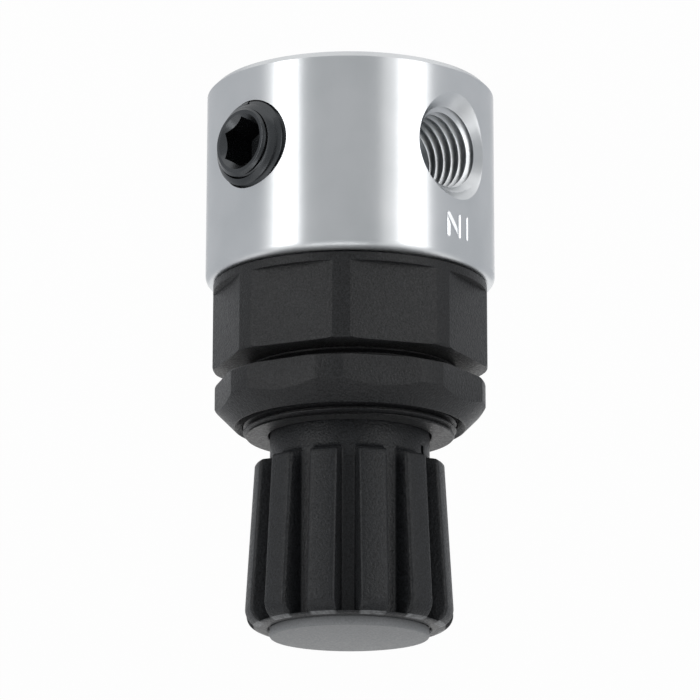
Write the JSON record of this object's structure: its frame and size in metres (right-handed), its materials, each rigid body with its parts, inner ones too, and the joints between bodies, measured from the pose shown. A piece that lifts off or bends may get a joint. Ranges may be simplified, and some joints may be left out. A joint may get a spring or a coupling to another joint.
{
  "type": "diaphragm pressure regulator",
  "caption": "Small inline air pressure regulator with a round plated body, black bonnet, panel nut and ribbed push-to-lock knob.",
  "frame": {"origin": "centre of the body's flat bottom face, knob upwards", "axes": "+Z along the common axis towards the knob, inlet port facing -X, outlet port facing +X, gauge ports facing -Y and +Y"},
  "size_m": [0.041, 0.0448, 0.079],
  "materials": {
    "nickel_plated_body": "nickel plated, turned",
    "black_plug": "black oxide steel, satin",
    "inner_brass": "turned",
    "black_rubber": "matte",
    "spring_steel": "drawn wire",
    "zinc_steel": "zinc plated",
    "white_acetal": "moulded, matte",
    "bonnet_plastic": "moulded, fine grain",
    "panel_nut_plastic": "moulded, fine grain",
    "knob_plastic": "moulded, fine grain",
    "cap_plastic": "moulded, matte"
  },
  "bodies": {
    "housing": {"body": "nickel_plated_body", "bonnet": "bonnet_plastic", "front_gauge_plug": "black_plug", "rear_gauge_plug": "black_plug", "valve_seat": "inner_brass", "seat_o_ring": "black_rubber", "slip_ring": "white_acetal", "diaphragm": "black_rubber", "thrust_washer": "white_acetal", "valve_spring": "spring_steel", "control_spring": "spring_steel"},
    "screw": {"adjusting_screw": "zinc_steel", "screw_clip": "spring_steel", "knob_stop_screw": "zinc_steel"},
    "knob": {"knob": "knob_plastic", "knob_cap": "cap_plastic"},
    "spring_nut": {"spring_nut": "inner_brass"},
    "diaphragm_set": {"relief_stud": "inner_brass", "diaphragm_plate": "zinc_steel", "stud_nut": "zinc_steel"},
    "valve": {"valve_poppet": "inner_brass", "valve_disc": "black_rubber"},
    "panel_nut": {"panel_nut": "panel_nut_plastic"}
  },
  "joints": [
    {"name": "knob_turn", "type": "hinge", "parent": "housing", "child": "screw", "pos_m": [0, 0, 0.0474], "axis": [0, 0, -1], "range_deg": [0, 1440]},
    {"name": "knob_lock", "type": "slide", "parent": "screw", "child": "knob", "axis": [0, 0, -1], "range_m": [0, 0.002]},
    {"name": "spring_nut_travel", "type": "slide", "parent": "housing", "child": "spring_nut", "axis": [0, 0, -1], "range_m": [0, 0.005], "deforming": ["control_spring"]},
    {"name": "diaphragm_lift", "type": "slide", "parent": "housing", "child": "diaphragm_set", "axis": [0, 0, -1], "range_m": [0, 0.0008], "stiffness_N_per_m": 8000, "springref_m": -0.0005, "deforming": ["diaphragm"]},
    {"name": "valve_lift", "type": "slide", "parent": "housing", "child": "valve", "axis": [0, 0, -1], "range_m": [0, 0.0008], "deforming": ["valve_spring"]},
    {"name": "panel_nut_travel", "type": "slide", "parent": "housing", "child": "panel_nut", "axis": [0, 0, 1], "range_m": [-0.0018, 0.0055]}
  ],
  "couplings": [
    {"joint": "spring_nut_travel", "follows": "knob_turn", "m_per_rad": 0.00019894},
    {"joint": "valve_lift", "follows": "diaphragm_lift", "ratio": 1}
  ]
}
